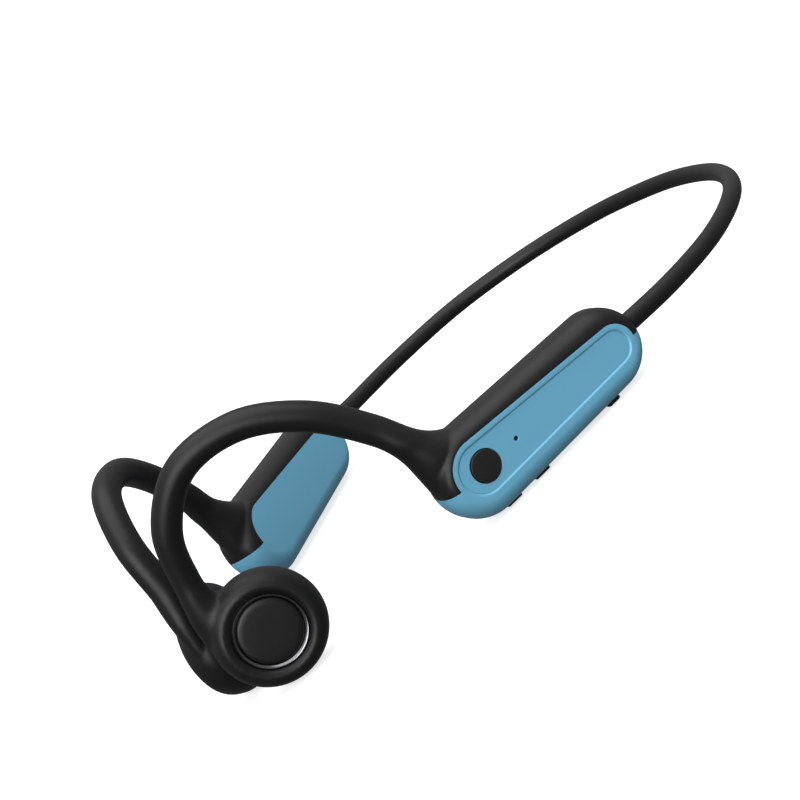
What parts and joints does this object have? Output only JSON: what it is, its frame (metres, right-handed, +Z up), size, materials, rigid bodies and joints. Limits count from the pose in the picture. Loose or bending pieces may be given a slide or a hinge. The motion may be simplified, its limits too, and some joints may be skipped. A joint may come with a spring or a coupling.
{
  "type": "bone conduction headphones",
  "caption": "Open-ear bone conduction headset: sprung neckband, two pods, ear hooks ending in round transducers, side push button, edge keys and a hinged port cover.",
  "frame": {"origin": "middle of the bounding box in X and Y, on the surface that the headset lies on", "axes": "+Z up; -Y is forward, towards the transducers, and +Y is back, towards the middle of the neckband; +X is the wearer's left, the side with the controls"},
  "size_m": [0.134, 0.1932, 0.0579],
  "materials": {
    "silicone": "matte",
    "shell_blue": "satin",
    "button_black": "satin",
    "cap_black": "satin",
    "skin_pad": "matte",
    "trim_ring": "polished",
    "titanium": "satin",
    "cable_jacket": "matte",
    "steel": "satin",
    "magnet": "polished",
    "copper": "satin",
    "circuit_board": "satin",
    "cell_foil": "satin"
  },
  "bodies": {
    "left_half": {"band_sleeve_left": "silicone", "band_wire_left": "titanium", "band_cable_left": "cable_jacket", "hook_wire_left": "titanium", "ear_hook_left": "silicone", "pod_shell_left": "shell_blue", "pod_faceplate_left": "shell_blue", "charging_socket": "steel", "control_board": "circuit_board", "main_switch": "steel", "microphone": "steel", "radio_module": "steel", "volume_switch_front": "steel", "volume_switch_rear": "steel", "transducer_shell_left": "silicone", "transducer_cap_left": "cap_black", "transducer_ring_left": "trim_ring", "transducer_pad_left": "skin_pad", "driver_yoke_left": "steel", "driver_magnet_left": "magnet", "driver_coil_left": "copper", "driver_spring_left": "steel"},
    "right_half": {"band_sleeve_right": "silicone", "band_wire_right": "titanium", "band_cable_right": "cable_jacket", "hook_wire_right": "titanium", "ear_hook_right": "silicone", "pod_shell_right": "shell_blue", "pod_faceplate_right": "shell_blue", "battery": "cell_foil", "battery_board": "circuit_board", "transducer_shell_right": "silicone", "transducer_cap_right": "cap_black", "transducer_ring_right": "trim_ring", "transducer_pad_right": "skin_pad", "driver_yoke_right": "steel", "driver_magnet_right": "magnet", "driver_coil_right": "copper", "driver_spring_right": "steel"},
    "main_button": {"main_button": "button_black"},
    "volume_up_button": {"volume_up_button": "button_black"},
    "volume_down_button": {"volume_down_button": "button_black"},
    "port_cover": {"port_cover": "silicone"}
  },
  "joints": [
    {"name": "neckband_flex", "type": "hinge", "parent": "left_half", "child": "right_half", "pos_m": [0, 0.09431, 0.00647], "axis": [0, -0.0157, -0.9999], "range_deg": [0, 50], "stiffness_Nm_per_rad": 0.2},
    {"name": "main_button_press", "type": "slide", "parent": "left_half", "child": "main_button", "axis": [-0.9417, 0.3357, 0.0209], "range_m": [0, 0.00035], "stiffness_N_per_m": 3000},
    {"name": "volume_up_press", "type": "slide", "parent": "left_half", "child": "volume_up_button", "axis": [0.0247, 0.0069, 0.9997], "range_m": [0, 0.0003], "stiffness_N_per_m": 4000},
    {"name": "volume_down_press", "type": "slide", "parent": "left_half", "child": "volume_down_button", "axis": [0.0247, 0.0069, 0.9997], "range_m": [0, 0.0003], "stiffness_N_per_m": 4000},
    {"name": "port_cover_hinge", "type": "hinge", "parent": "left_half", "child": "port_cover", "pos_m": [0.05303, -0.01501, 0.00119], "axis": [-0.9417, 0.3357, 0.0209], "range_deg": [0, 110]}
  ]
}
